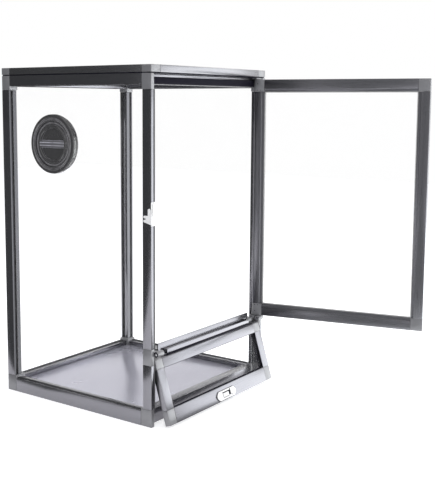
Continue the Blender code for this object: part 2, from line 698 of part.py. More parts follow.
def flap(cage):
    """The feeding flap under the middle rail, and its latch."""
    turn = Matrix.Rotation(math.pi / 2, 3, "Y") @ Matrix.Rotation(-math.radians(FLAP_OPEN), 3, "Z")
    holder = carrier("flap_hinge", (0, PIVOT_BACK, FLAP_PIVOT), cage, turn)
    names = {
        "hinge": "flap_rail_top", "free": "flap_rail_bottom",
        "low": "flap_stile_left", "high": "flap_stile_right", "pane": "flap_panel",
        ("hinge", "low"): "flap_corner_top_left", ("hinge", "high"): "flap_corner_top_right",
        ("free", "low"): "flap_corner_bottom_left", ("free", "high"): "flap_corner_bottom_right",
    }
    across = FLAP_TOP - FLAP_LOW
    made = leaf(holder, names, across, FLAP_LENGTH, FLAP_RAIL_TOP, FLAP_RAIL_LOW, FLAP_STILE)
    pin = circle(0, 0, PIN)
    tip = FLAP_LENGTH / 2 + LEAF_GAP + FLAP_PIN_REACH
    join(made["hinge", "low"], "z", pin, (-tip, -FLAP_LENGTH / 2 + PIN_ROOT), holder)
    join(made["hinge", "high"], "z", pin, (FLAP_LENGTH / 2 - PIN_ROOT, tip), holder)
    centre = across - LEAF / 2 - PLATE_UP
    low, high, c = centre - PLATE_HEIGHT / 2, centre + PLATE_HEIGHT / 2, PLATE_CORNER
    left, right = PLATE_ASIDE - PLATE_WIDTH / 2, PLATE_ASIDE + PLATE_WIDTH / 2
    outline = [
        (low, left + c), (low + c, left), (high - c, left), (high, left + c),
        (high, right - c), (high - c, right), (low + c, right), (low, right - c),
    ]
    seat = -LEAF / 2 - FIT
    plate = prism("flap_latch_plate", "y", outline, (seat - PLATE_THICK, seat), "latch", holder)
    begin = PLATE_ASIDE - SLOT_WIDTH / 2
    slot = rectangle(centre - SLOT_HEIGHT / 2, centre + SLOT_HEIGHT / 2, begin, begin + SLOT_WIDTH)
    outer = seat - PLATE_THICK
    cut(plate, "y", slot, (outer - SLOT_DEPTH, outer + SLOT_DEPTH), holder)
    at = (centre, outer, begin + FIT + BUTTON_WIDTH / 2)
    slider = carrier("flap_latch_travel", at, holder)
    button = rectangle(
        centre - SLOT_HEIGHT / 2 + FIT, centre + SLOT_HEIGHT / 2 - FIT,
        at[2] - BUTTON_WIDTH / 2, at[2] + BUTTON_WIDTH / 2,
    )
    span = (outer - BUTTON_RISE, outer + SLOT_DEPTH - FIT)
    prism("flap_latch_slide", "y", button, span, "latch", slider)


def lid(cage):
    """The lift-off lid: four rails, four corners and a sheet of mesh in their grooves."""
    holder = carrier("lid_lift", (0, DEPTH / 2, BODY_TOP), cage)
    low = BODY_TOP + LID_GAP
    foot = BODY_TOP + FIT - low
    level = MESH_LEVEL - FIT
    slot = MESH_SHEET + 2 * FIT
    section = [(0, 0), (LID_STEP, 0), (LID_STEP, foot), (LID_RAIL, foot), (LID_RAIL, level)]
    section += [(LID_RAIL - LID_GROOVE, level), (LID_RAIL - LID_GROOVE, level + slot)]
    section += [(LID_RAIL, level + slot), (LID_RAIL, LID), (0, LID)]
    bore = rectangle(LID_WALL, LID_WALL + BORE, WALL, WALL + BORE)

    def lid_frame(where):
        if where in SIDES:
            return "y", lambda points: [(SIDES[where] * (HALF - u), low + v) for u, v in points]
        if where == "back":
            return "x", lambda points: [(DEPTH - u, low + v) for u, v in points]
        return "x", lambda points: [(u, low + v) for u, v in points]

    for where in ("front", "back", "left", "right"):
        along, write = lid_frame(where)
        span = (LID_CORNER + FIT - HALF, HALF - LID_CORNER - FIT)
        if where in SIDES:
            span = (LID_RAIL + FIT, DEPTH - LID_RAIL - FIT)
        prism("lid_rail_" + where, along, write(section), span, "frame", holder, [write(bore)])
    for side, sign in SIDES.items():
        for end in ("front", "back"):
            name = f"lid_corner_{end}_{side}"
            near, rear = (0, LID_RAIL) if end == "front" else (DEPTH, DEPTH - LID_RAIL)
            inward = 1 if end == "front" else -1
            plan = [(0, near), (LID_CORNER, near), (LID_CORNER, rear), (0, rear)]
            block = prism(name, "z", in_plan(side, plan), (low, low + LID), "block", holder)
            step = near + inward * LID_STEP
            plan = [(LID_STEP, step), (LID_CORNER - FIT, step), (LID_CORNER - FIT, rear - inward * FIT)]
            plan.append((LID_STEP, rear - inward * FIT))
            join(block, "z", in_plan(side, plan), (low + foot, low + LID / 2), holder)
            along, write = lid_frame(end)
            face = sign * (HALF - LID_CORNER)
            span = (face + sign * SPIGOT_ROOT, face - sign * SPIGOT)
            join(block, along, shrunk(write(bore)), span, holder)
            along, write = lid_frame(side)
            span = (rear - inward * SPIGOT_ROOT, rear + inward * SPIGOT)
            join(block, along, shrunk(write(bore)), span, holder)
    lid_mesh(holder, low + MESH_LEVEL)


def lid_mesh(holder, level):
    """A woven sheet drawn as a square grid of flat wires, cut round the lid's corners."""
    edge = LID_RAIL - LID_GROOVE + FIT

    def lines(low, high):
        """Where the wires and gaps begin and end between the sheet's two edges."""
        pitch = (high - low - 2 * MESH_RIM + MESH_WIRE) / MESH_GAPS
        spots = [low]
        for step in range(MESH_GAPS):
            begin = low + MESH_RIM + step * pitch
            spots += [begin, begin + pitch - MESH_WIRE]
        return spots + [high]

    along_x = lines(edge - HALF, HALF - edge)
    along_y = lines(edge, DEPTH - edge)
    corner_x = HALF - LID_CORNER - FIT
    corner_y = (LID_RAIL + FIT, DEPTH - LID_RAIL - FIT)
    along_x = sorted(along_x + [-corner_x, corner_x])
    along_y = sorted(along_y + list(corner_y))
    gaps_x = lines(edge - HALF, HALF - edge)[1:-1]
    gaps_y = lines(edge, DEPTH - edge)[1:-1]

    def in_gap(value, gaps):
        return any(a < value < b for a, b in zip(gaps[::2], gaps[1::2]))

    mesh = bmesh.new()
    spots = {}

    def corner(x, y):
        if (x, y) not in spots:
            spots[x, y] = mesh.verts.new((x, y, level))
        return spots[x, y]

    for x0, x1 in zip(along_x, along_x[1:]):
        for y0, y1 in zip(along_y, along_y[1:]):
            x, y = (x0 + x1) / 2, (y0 + y1) / 2
            if in_gap(x, gaps_x) and in_gap(y, gaps_y):
                continue
            if abs(x) > corner_x and not corner_y[0] < y < corner_y[1]:
                continue
            mesh.faces.new([corner(x0, y0), corner(x1, y0), corner(x1, y1), corner(x0, y1)])
    grown = bmesh.ops.extrude_face_region(mesh, geom=list(mesh.faces))["geom"]
    moved = [piece for piece in grown if isinstance(piece, bmesh.types.BMVert)]
    bmesh.ops.translate(mesh, verts=moved, vec=(0, 0, MESH_SHEET))
    solid("lid_mesh", mesh, "mesh", holder)


def port(cage):
    """The clamped drum in the left panel, and the twist cap in its bore."""
    face = -(HALF - PANEL_INSET - FIT)
    centre = (face, PORT_BACK, PORT_HEIGHT)
    inside = -PANEL - FIT
    top = FIT + PORT_RISE
    ledge = top - PORT_SEAT_DROP
    shoulder = arc(PORT_DRUM - PORT_ROUND, top - PORT_ROUND, PORT_ROUND, 0, 90, 4)
    land = PORT_DRUM - PORT_ROUND - PORT_LAND
    ridge = PORT_SEAT + PORT_RIDGE
    ring = [
        (PORT_BORE, inside - PORT_NUT_THICK), (PORT_NUT, inside - PORT_NUT_THICK),
        (PORT_NUT, inside), (PORT_HOLE - FIT, inside), (PORT_HOLE - FIT, FIT), (PORT_DRUM, FIT),
        *shoulder, (land, top), (land - PORT_BANK, top - PORT_HOLLOW),
        (ridge + PORT_BANK, top - PORT_HOLLOW), (ridge, top), (PORT_SEAT, top), (PORT_SEAT, ledge),
        (PORT_BORE, ledge),
    ]
    turned("port_ring", ring, centre, "port", cage)
    holder = carrier("port_cap_twist", centre, cage)
    skirt = PORT_BORE - FIT
    flat = top - CAP_REVEAL
    dish = flat + CAP_RIM - CAP_DISH
    cap = [
        (0, dish - CAP_WALL), (skirt - CAP_SKIRT, dish - CAP_WALL), (skirt - CAP_SKIRT, inside),
        (skirt, inside), (skirt, ledge + FIT), (PORT_SEAT - FIT, ledge + FIT), (PORT_SEAT - FIT, flat),
        *arc(CAP_RING, flat, CAP_RIM, 0, 180, 6), (CAP_RING - CAP_RIM, dish), (0, dish),
    ]
    made = turned("port_cap", cap, centre, "port", holder)
    foot, side, crest = dish - CAP_WALL / 2, dish + CAP_BAR_FOOT, flat + CAP_RIM - CAP_BAR_DROP
    bar = [
        (face - height, PORT_HEIGHT + half)
        for height, half in (
            (foot, -CAP_BAR / 2), (side, -CAP_BAR / 2), (crest, -CAP_BAR_CREST / 2),
            (crest, CAP_BAR_CREST / 2), (side, CAP_BAR / 2), (foot, CAP_BAR / 2),
        )
    ]
    join(made, "y", bar, (PORT_BACK - CAP_RING, PORT_BACK + CAP_RING), holder)


def door_latch(cage):
    """The clip on the near post and the turning lever that holds the door shut."""
    left = -HALF
    front = -FIT
    outer = left - FIT - LATCH_SHEET
    centre = left + STRIP / 2
    inner = left + STRIP - LATCH_INSET
    plate = rectangle(outer + FIT, inner, LATCH_HEIGHT - LATCH_BELOW, LATCH_HEIGHT + LATCH_ABOVE)
    base = prism("door_latch_base", "y", plate, (front - LATCH_SHEET, front), "latch", cage)
    seam = front - LATCH_SHEET + FIT
    lower = LATCH_HEIGHT - WING_BELOW + PRONG
    upper = lower + 2 * PRONG + PRONG_GAP
    finger = LATCH_HEIGHT + FINGER_TOP - FINGER
    wing = [(seam, LATCH_HEIGHT - WING_HEEL), *arc(PRONG_BACK, lower, PRONG, 270, 450, 6)]
    wing += [(FORK_ROOT, lower + PRONG), (FORK_ROOT, upper - PRONG)]
    wing += [*arc(PRONG_BACK, upper, PRONG, 270, 450, 6), (FINGER_BACK + FINGER, upper + PRONG)]
    wing += [*arc(FINGER_BACK, finger, FINGER, 0, 180, 6), (seam, upper + PRONG)]
    join(base, "x", wing, (outer, left - FIT), cage)
    pivot = circle(centre, LATCH_HEIGHT, LEVER_PIN + PIN_PLAY)
    cut(base, "y", pivot, (front - LATCH_SHEET * 2, front + LATCH_SHEET), cage)
    holder = carrier("door_latch_turn", (centre, front - LATCH_SHEET, LATCH_HEIGHT), cage)
    tip = LATCH_HEIGHT + LEVER_ARM - LEVER_HALF
    outline = arc(centre, LATCH_HEIGHT, LEVER_HUB, HUB_START, HUB_END, 14)
    outline += arc(centre, tip, LEVER_HALF, 0, 180)
    back = front - LATCH_SHEET - FIT
    lever = prism("door_latch_lever", "y", outline, (back - LEVER, back), "latch", holder)
    pin = circle(centre, LATCH_HEIGHT, LEVER_PIN)
    join(lever, "y", pin, (back - LEVER / 2, front - FIT), holder)


def main():
    for old in list(bpy.data.objects):
        bpy.data.objects.remove(old, do_unlink=True)
    cage = carrier("cage", (0, 0, 0))
    cage.location = -ORIGIN
    posts(cage)
    rails(cage)
    blocks = corner_blocks(cage)
    tees = middle_rail(cage)
    hinge_seats(blocks["top", "front", "right"], tees["right"], cage)
    panels(cage)
    door(cage)
    flap(cage)
    lid(cage)
    port(cage)
    door_latch(cage)


main()
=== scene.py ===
"""Looks of a display cage for a small reptile: soft-edged extrusions, moulded corners, clear panels."""

import json
import math

import bmesh
import bpy
from mathutils import Matrix, Vector


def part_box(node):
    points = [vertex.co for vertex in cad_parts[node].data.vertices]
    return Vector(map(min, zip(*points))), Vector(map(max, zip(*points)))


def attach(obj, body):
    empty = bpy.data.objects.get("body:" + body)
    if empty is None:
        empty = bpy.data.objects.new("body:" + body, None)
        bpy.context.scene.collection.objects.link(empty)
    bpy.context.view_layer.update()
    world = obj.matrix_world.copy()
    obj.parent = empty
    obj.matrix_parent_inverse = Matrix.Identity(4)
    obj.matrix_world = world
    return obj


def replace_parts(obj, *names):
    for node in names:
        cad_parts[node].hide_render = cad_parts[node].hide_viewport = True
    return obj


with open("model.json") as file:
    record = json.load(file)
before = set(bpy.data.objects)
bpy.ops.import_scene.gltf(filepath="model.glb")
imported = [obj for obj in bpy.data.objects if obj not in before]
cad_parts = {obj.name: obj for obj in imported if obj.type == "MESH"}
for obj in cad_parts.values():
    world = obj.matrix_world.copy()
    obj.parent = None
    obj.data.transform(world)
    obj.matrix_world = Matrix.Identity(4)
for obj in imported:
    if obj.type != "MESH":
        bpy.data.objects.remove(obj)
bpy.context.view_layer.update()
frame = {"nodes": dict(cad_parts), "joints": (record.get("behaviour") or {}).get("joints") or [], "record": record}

JOINTS = {joint["name"]: joint for joint in frame["joints"]}


def extent(name, axis):
    """Where a piece of the frame begins and ends along x, y or z."""
    low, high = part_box(name)
    place = "xyz".index(axis)
    return low[place], high[place]


def swing(name):
    """The turn of a leaf about its hinge, from closed to where it stands in the photograph."""
    hinge = JOINTS[name]
    at = Matrix.Translation(hinge["pos_m"])
    closed_at = math.radians(hinge["range_deg"][0])
    return at @ Matrix.Rotation(-closed_at, 4, Vector(hinge["axis"])) @ at.inverted()


# Camera, as it stood for the photograph
CAMERA_AT = (-1.731255, -1.213452, 0.719149)
CAMERA_YAW = -53.8738  # degrees from +Y
CAMERA_PITCH = -6.9592
CAMERA_ROLL = 0.1974
CAMERA_LENS = 64.857  # mm
CAMERA_SENSOR = 36  # mm across
CAMERA_SHIFT = (0.06466, -0.07301)

# How far edges are rounded
EXTRUSION_EDGE = 0.0005
MOULDED_EDGE = 0.0009
PORT_EDGE = 0.0007
SHEET_EDGE = 0.0003
RUBBER_EDGE = 0.0003
FINE_EDGE = 0.0002
THIN_EDGE = 0.0001
SHARP = math.radians(28)  # faces that meet at more than this have an edge
FLAT = math.radians(0.5)  # faces that meet at less than this are one
WELD = 0.00001

# The fixed frame that the small pieces are set out from
FIT = 0.0003  # between neighbouring pieces
HALF = extent("post_front_right", "x")[1]
SECTION = HALF - extent("post_front_right", "x")[0]
STRIP = 0.013  # width of the strip on a front post
FRONT = extent("post_front_right", "y")[0]
BACK = extent("post_back_right", "y")[1]
BASE_RAIL_TOP = extent("bottom_rail_left", "z")[1]
BASE_BLOCK_TOP = extent("post_front_right", "z")[0] - FIT
TEE_LOW, TEE_TOP = extent("tee_left", "z")
BAR_LOW = extent("mid_rail", "z")[0]
BAR_FRONT = extent("mid_rail", "y")[0]
CLIP_LOW, CLIP_TOP = extent("door_latch_base", "z")
TOP_BLOCK_LOW = extent("post_front_right", "z")[1] + FIT
TOP_RAIL_LOW, BODY_TOP = extent("top_rail_left", "z")

# The leaves, drawn closed and then swung open: openings across and upright, and faces in depth
SWING = {"door": swing("door_hinge"), "flap": swing("flap_hinge")}
HERE = Matrix.Identity(4)  # for what doesn't swing
DOOR_OPENING = ((-0.190, 0.1888), (0.204, 0.747))
FLAP_OPENING = ((-0.192, 0.192), (0.0348, 0.1275))
PANE_FRONT = FRONT + 0.0042
PANE_BACK = FRONT + 0.0082
LEAF_BACK = FRONT + 0.0152

# Rubber along the panels and in the seats
GASKET = 0.0016  # width
PROUD = 0.001  # how far it stands off
TOUCH = 0.0001  # left between the rubber and what it lies on

# The lid's woven mesh
LID_X = (extent("lid_rail_left", "x")[1], extent("lid_rail_right", "x")[0])
LID_Y = (extent("lid_rail_front", "y")[1], extent("lid_rail_back", "y")[0])
MESH_LEVEL = sum(extent("lid_mesh", "z")) / 2
WIRES = (118, 117)  # that lie side by side along x, and along y
WIRE = 0.00045  # radius
WIRE_SHARP = math.radians(80)  # keeps its four sides apart, and its bends smooth
WAVE = 0.0003  # how far a wire rises and dips

# The port in the left panel, turned about the axis of its cap
PORT = Vector(JOINTS["port_cap_twist"]["pos_m"])
PORT_AXIS = Vector(JOINTS["port_cap_twist"]["axis"])
PORT_STEPS = 128

# The round bosses in front of the tees: y and z of their axis, and how far out their faces are
BOSS = (-0.033, 0.166)
BOSS_OUTER = 0.2225
BOSS_INNER = 0.2005
STUD_STEPS = 32
SCREW_STEPS = 16


def feed(tree, socket, value):
    """Links a socket to an output, or sets it to a value."""
    if isinstance(value, bpy.types.NodeSocket):
        tree.links.new(value, socket)
    else:
        socket.default_value = value


def node(tree, kind, settings=None, **sockets):
    """A shader node with its settings, and its inputs set by name, or by number as i0, i1 and so on."""
    made = tree.nodes.new("ShaderNode" + kind)
    for key, value in (settings or {}).items():
        setattr(made, key, value)
    for key, value in sockets.items():
        which = int(key[1:]) if key[1:].isdigit() else key.replace("_", " ")
        feed(tree, made.inputs[which], value)
    return made


def noise(tree, where, scale, *, detail, roughness, distortion=0):
    """Noise between 0 and 1."""
    made = node(tree, "TexNoise", Vector=where, Scale=scale, Detail=detail, Roughness=roughness,
                Distortion=distortion)
    return made.outputs["Fac"]


def ranged(tree, value, low, high, start=0.0, end=1.0):
    """A value taken from the range between start and end to the one between low and high."""
    made = node(tree, "MapRange", {"clamp": True}, Value=value, From_Min=start, From_Max=end,
                To_Min=low, To_Max=high)
    return made.outputs[0]


def times(tree, first, second):
    """Two values multiplied, and kept between 0 and 1."""
    return node(tree, "Math", {"operation": "MULTIPLY", "use_clamp": True}, i0=first, i1=second).outputs[0]


def new_group(name, inputs, outputs):
    """An empty shader node group with named inputs, and outputs that are values."""
    kinds = {"float": "NodeSocketFloat", "vector": "NodeSocketVector"}
    group = bpy.data.node_groups.new(name, "ShaderNodeTree")
    for label, kind, value in inputs:
        socket = group.interface.new_socket(name=label, in_out="INPUT", socket_type=kinds[kind])
        if value is not None:
            socket.default_value = value
    for label in outputs:
        group.interface.new_socket(name=label, in_out="OUTPUT", socket_type=kinds["float"])
    given = group.nodes.new("NodeGroupInput").outputs
    result = group.nodes.new("NodeGroupOutput").inputs
    return group, given, result


def drawn_grain():
    """Fine drawing lines along one axis of an extrusion, with slow clouds between them."""
    group, given, result = new_group(
        "drawn_grain",
        [("Vector", "vector", None), ("Stretch", "vector", (1, 1, 1)), ("Scale", "float", 900)],
        ["Lines", "Clouds"],
    )
    drawn = node(group, "VectorMath", {"operation": "MULTIPLY"}, i0=given["Vector"], i1=given["Stretch"])
    lines = noise(group, drawn.outputs[0], given["Scale"], detail=3, roughness=0.6)
    clouds = noise(group, given["Vector"], 9, detail=4, roughness=0.55)
    group.links.new(lines, result["Lines"])
    group.links.new(clouds, result["Clouds"])
    return group


def edge_scuffs_and_highlights():
    """A narrow line along the rounded edges, with gaps in it: scuffs on most pieces, and painted highlights in
    place of reflections on the port and its grip.
    """
    group, given, result = new_group(
        "edge_scuffs_and_highlights",
        [("Vector", "vector", None), ("Amount", "float", 0.5), ("Scale", "float", 60),
         ("Gaps", "float", 0.42)],
        ["Mask"],
    )
    rim = node(group, "Attribute", {"attribute_name": "rounded_edge"}).outputs["Fac"]
    patches = noise(group, given["Vector"], given["Scale"], detail=5, roughness=0.65)
    broken = times(group, rim, ranged(group, patches, 0, 1, given["Gaps"], 0.62))
    group.links.new(times(group, broken, given["Amount"]), result["Mask"])
    return group


def settled_dust():
    """Thin dust on what faces up, thicker in slow patches."""
    group, given, result = new_group(
        "settled_dust",
        [("Vector", "vector", None), ("Amount", "float", 0.3), ("Scale", "float", 22)],
        ["Mask"],
    )
    upward = node(group, "SeparateXYZ", i0=node(group, "NewGeometry").outputs["Normal"]).outputs["Z"]
    patches = noise(group, given["Vector"], given["Scale"], detail=6, roughness=0.6)
    lying = times(group, ranged(group, upward, 0, 1, 0.4, 1), ranged(group, patches, 0, 1, 0.35, 0.75))
    group.links.new(times(group, lying, given["Amount"]), result["Mask"])
    return group


def moulded_skin():
    """The fine spark texture of a moulded part, and the faint flow marks in it."""
    group, given, result = new_group(
        "moulded_skin",
        [("Vector", "vector", None), ("Scale", "float", 1800)],
        ["Height", "Flow"],
    )
    pits = noise(group, given["Vector"], given["Scale"], detail=2, roughness=0.5)
    flow = noise(group, given["Vector"], 35, detail=3, roughness=0.5, distortion=0.8)
    group.links.new(pits, result["Height"])
    group.links.new(flow, result["Flow"])
    return group


GROUPS = {made.name: made for made in (drawn_grain(), edge_scuffs_and_highlights(), settled_dust(), moulded_skin())}


def use_group(tree, name, **values):
    """One of the shared groups, placed in a material with its own values."""
    made = tree.nodes.new("ShaderNodeGroup")
    made.node_tree = GROUPS[name]
    for key, value in values.items():
        feed(tree, made.inputs[key], value)
    return made.outputs


def new_material(name, turn=(0, 0, 0)):
    """A node material, its tree, its shader's inputs, and Object coordinates turned as a piece is."""
    made = bpy.data.materials.new(name)
    made.use_nodes = True
    tree = made.node_tree
    place = node(tree, "TexCoord").outputs["Object"]
    where = node(tree, "Mapping", Vector=place, Rotation=turn).outputs[0]
    return made, tree, tree.nodes["Principled BSDF"].inputs, where


def tinted(colour, amount):
    """A colour made darker or lighter."""
    return tuple(min(1, part * amount) for part in colour)


def blended(tree, mask, first, second):
    """A colour that goes from the first to the second with a mask."""
    mix = node(tree, "Mix", {"data_type": "RGBA"}, Factor=mask)
    for socket, value in ((mix.inputs[6], first), (mix.inputs[7], second)):
        feed(tree, socket, (*value, 1) if isinstance(value, tuple) else value)
    return mix.outputs[2]


def coated(tree, shader, colour, roughness, height, strength, distance):
    """Gives a shader its colour, its roughness and the fine relief of its surface."""
    bump = node(tree, "Bump", Strength=strength, Distance=distance, Height=height)
    tree.links.new(colour, shader["Base Color"])
    tree.links.new(roughness, shader["Roughness"])
    tree.links.new(bump.outputs["Normal"], shader["Normal"])


def anodised(name, colour, pale, roughness, along, turn=(0, 0, 0)):
    """Satin anodised aluminium, drawn along one axis, with scuffed edges and a little dust."""
    made, tree, shader, where = new_material(name, turn)
    stretch = tuple(0.012 if axis == along else 1 for axis in "xyz")
    grain = use_group(tree, "drawn_grain", Vector=where, Stretch=stretch, Scale=1400)
    edge_mask = use_group(tree, "edge_scuffs_and_highlights", Vector=where, Amount=0.45)["Mask"]
    dust = use_group(tree, "settled_dust", Vector=where, Amount=0.10)["Mask"]
    shade = blended(tree, grain["Clouds"], tinted(colour, 0.965), tinted(colour, 1.035))
    shade = blended(tree, ranged(tree, grain["Lines"], 0, 0.12, 0.35, 0.75), shade, pale)
    shade = blended(tree, edge_mask, shade, pale)
    shade = blended(tree, dust, shade, (0.45, 0.44, 0.43))
    rough = ranged(tree, grain["Lines"], roughness - 0.03, roughness + 0.04, 0.3, 0.7)
    coated(tree, shader, shade, rough, grain["Lines"], 0.06, 0.0001)
    tree.links.new(ranged(tree, dust, 1.0, 0.5), shader["Metallic"])
    return made


def moulded(name, colour, roughness, scuff_and_highlight=0.5, dusty=0.1, depth=0.25, scuff_and_highlight_tint=1.9, gloss=0.5, metal=0.0,
            gaps=0.42):
    """Moulded nylon, vinyl or rubber with a fine texture, and light lines along its rounded edges: scuffs, and on
    the port and its grip painted highlights.
    """
    made, tree, shader, where = new_material(name)
    skin = use_group(tree, "moulded_skin", Vector=where)
    edge_mask = use_group(tree, "edge_scuffs_and_highlights", Vector=where, Amount=scuff_and_highlight, Gaps=gaps)["Mask"]
    dust = use_group(tree, "settled_dust", Vector=where, Amount=dusty)["Mask"]
    shade = blended(tree, skin["Flow"], tinted(colour, 0.93), tinted(colour, 1.07))
    shade = blended(tree, edge_mask, shade, tinted(colour, scuff_and_highlight_tint))
    shade = blended(tree, dust, shade, (0.5, 0.49, 0.47))
    rough = ranged(tree, skin["Flow"], roughness - 0.05, roughness + 0.06, 0.3, 0.7)
    coated(tree, shader, shade, rough, skin["Height"], depth, 0.00015)
    shader["Specular IOR Level"].default_value = gloss
    shader["Metallic"].default_value = metal
    return made


def clear_sheet():
    """Clear acrylic with faint wiping marks."""
    made, tree, shader, where = new_material("clear_acrylic")
    smears = noise(tree, where, 7, detail=5, roughness=0.6, distortion=1.5)
    shader["Base Color"].default_value = (0.97, 0.98, 0.99, 1)
    shader["IOR"].default_value = 1.49
    tree.links.new(ranged(tree, smears, 0.03, 0.14, 0.35, 0.75), shader["Roughness"])
    tree.links.new(ranged(tree, smears, 0.006, 0.022, 0.4, 0.8), shader["Alpha"])
    return made


def floor_sheet():
    """Satin grey-violet floor sheet that mirrors the posts softly, with fine speckle."""
    made, tree, shader, where = new_material("floor_sheet")
    speckle = noise(tree, where, 520, detail=2, roughness=0.6)
    clouds = noise(tree, where, 9, detail=3, roughness=0.5)
    dust = use_group(tree, "settled_dust", Vector=where, Amount=0.12, Scale=30)["Mask"]
    shade = blended(tree, clouds, (0.50, 0.495, 0.575), (0.54, 0.535, 0.615))
    shade = blended(tree, ranged(tree, speckle, 0, 0.25, 0.45, 0.75), shade, (0.42, 0.42, 0.50))
    shade = blended(tree, dust, shade, (0.62, 0.62, 0.66))
    coated(tree, shader, shade, ranged(tree, clouds, 0.20, 0.28, 0.3, 0.7), speckle, 0.05, 0.0001)
    shader["Metallic"].default_value = 0.55
    return made


def enamel():
    """White enamelled zinc of the latches."""
    made, tree, shader, where = new_material("white_enamel")
    dimples = noise(tree, where, 260, detail=2, roughness=0.5)
    edge_mask = use_group(tree, "edge_scuffs_and_highlights", Vector=where, Amount=0.25, Scale=120)["Mask"]
    shade = blended(tree, dimples, (0.84, 0.84, 0.84), (0.90, 0.90, 0.89))
    shade = blended(tree, edge_mask, shade, (0.55, 0.55, 0.55))
    coated(tree, shader, shade, ranged(tree, dimples, 0.22, 0.36, 0.3, 0.7), dimples, 0.1, 0.0002)
    return made


def finishes():
    """Every material, by the name that a piece asks for."""
    grey, pale = (0.200, 0.197, 0.216), (0.42, 0.42, 0.44)
    light_grey = (0.225, 0.222, 0.238)
    made = {}
    for along in "xyz":
        made["frame_" + along] = anodised("frame_aluminium_" + along, grey, pale, 0.22, along)
        made["lid_" + along] = anodised("lid_aluminium_" + along, light_grey, pale, 0.27, along)
    for leaf, turn in SWING.items():
        back = turn.inverted().to_euler()
        for along in "xz":
            made[f"{leaf}_{along}"] = anodised(f"{leaf}_aluminium_{along}", grey, pale, 0.29, along, back)
    # The port and its grip: their strong, nearly unbroken light lines on the rounded edges are painted highlights
    # in place of reflections.
    glossy = {"scuff_and_highlight": 1.0, "dusty": 0.04, "depth": 0.08, "gloss": 1.0}
    made["block"] = moulded("grey_nylon", (0.245, 0.244, 0.256), 0.36, scuff_and_highlight_tint=1.5, metal=0.4)
    made["port"] = moulded("black_nylon", (0.042, 0.041, 0.043), 0.24, scuff_and_highlight_tint=9, gaps=0.2, **glossy)
    made["grip"] = moulded("grip_nylon", (0.12, 0.118, 0.13), 0.22, scuff_and_highlight_tint=6, gaps=0.1, **glossy)
    made["seal"] = moulded("black_rubber", (0.014, 0.013, 0.021), 0.5, scuff_and_highlight=0.1, dusty=0.03, gloss=0.02)
    made["lip"] = moulded("grey_rubber", (0.11, 0.11, 0.114), 0.5, scuff_and_highlight=0.2, dusty=0.05, gloss=0.08)
    made["vinyl"] = moulded("pale_vinyl", (0.50, 0.50, 0.49), 0.4, scuff_and_highlight=0.1, dusty=0.05, gloss=0.3)
    made["mesh"] = anodised("dark_wire", (0.075, 0.075, 0.08), (0.3, 0.3, 0.3), 0.36, "z")
    made["steel"] = anodised("bright_steel", (0.52, 0.52, 0.53), (0.8, 0.8, 0.8), 0.22, "z")
    made["acrylic"] = clear_sheet()
    made["floor"] = floor_sheet()
    made["latch"] = enamel()
    return made


FINISHES = finishes()


def placed(name, mesh):
    """A new object in the scene that holds a bmesh's shape."""
    data = bpy.data.meshes.new(name)
    mesh.to_mesh(data)
    mesh.free()
    made = bpy.data.objects.new(name, data)
    bpy.context.scene.collection.objects.link(made)
    return made


def added(name, mesh, look, body, angle=SHARP):
    """A piece from a bmesh in place, shaded smooth between its corners, riding on its body."""
    piece = placed(name, mesh)
    piece.data.materials.append(FINISHES[look])
    piece.data.shade_smooth()
    piece.data.set_sharp_from_angle(angle=angle)
    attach(piece, body)
    return piece


def closed(mesh):
    """Welds a shape's doubles and turns its faces outwards."""
    bmesh.ops.remove_doubles(mesh, verts=mesh.verts, dist=WELD)
    bmesh.ops.recalc_face_normals(mesh, faces=mesh.faces)


def eased(mesh, edge, segments=2):
    """Rounds a shape's sharp edges, and marks the middle of each round for the edge scuffs and painted edge
    highlights.
    """
    sharp = [line for line in mesh.edges if len(line.link_faces) == 2 and line.calc_face_angle() > SHARP]
    rim = mesh.verts.layers.float.new("rounded_edge")
    made = bmesh.ops.bevel(mesh, geom=sharp, offset=edge, segments=segments, profile=0.5, affect="EDGES",
                           material=-1, clamp_overlap=True)
    new = set(made["faces"])
    for vert in made["verts"]:
        if vert.is_valid and all(face in new for face in vert.link_faces):
            vert[rim] = 1


def block(mesh, low, high, place):
    """A bar between two corners, added to a piece's mesh."""
    made = bmesh.ops.create_cube(mesh, size=1)["verts"]
    bmesh.ops.scale(mesh, verts=made, vec=[b - a for a, b in zip(low, high)])
    bmesh.ops.translate(mesh, verts=made, vec=[(a + b) / 2 for a, b in zip(low, high)])
    bmesh.ops.transform(mesh, verts=made, matrix=place)


def bars(name, spans, look, body, place=HERE, edge=RUBBER_EDGE):
    """A piece of several bars, each between two corners, with rounded edges."""
    mesh = bmesh.new()
    for low, high in spans:
        block(mesh, low, high, place)
    eased(mesh, edge)
    added(name, mesh, look, body)


def slab(mesh, outline, depth):
    """An outline pulled through a depth, added to a piece's mesh."""
    end = mesh.faces.new([mesh.verts.new(spot) for spot in outline])
    grown = bmesh.ops.extrude_face_region(mesh, geom=[end])["geom"]
    moved = [part for part in grown if isinstance(part, bmesh.types.BMVert)]
    bmesh.ops.translate(mesh, verts=moved, vec=depth)
    bmesh.ops.recalc_face_normals(mesh, faces=mesh.faces)


def turned(mesh, at, axis, profile, steps):
    """A profile of radius and height turned about an axis, added to a piece's mesh."""
    side = axis.orthogonal().normalized()
    spots = [mesh.verts.new(at + axis * height + side * radius) for radius, height in profile]
    following = spots[1:] + spots[:1] if profile[0][0] else spots[1:]
    lines = [mesh.edges.new(pair) for pair in zip(spots, following)]
    bmesh.ops.spin(mesh, geom=[*spots, *lines], cent=at, axis=axis, angle=math.tau, steps=steps,
                   use_merge=True)


def arc(radius, height, size, start, end, steps=8):
    """Points of a profile on part of a circle, between two angles in degrees."""
    turns = [math.radians(start + (end - start) * step / steps) for step in range(steps + 1)]
    return [(radius + size * math.cos(turn), height + size * math.sin(turn)) for turn in turns]


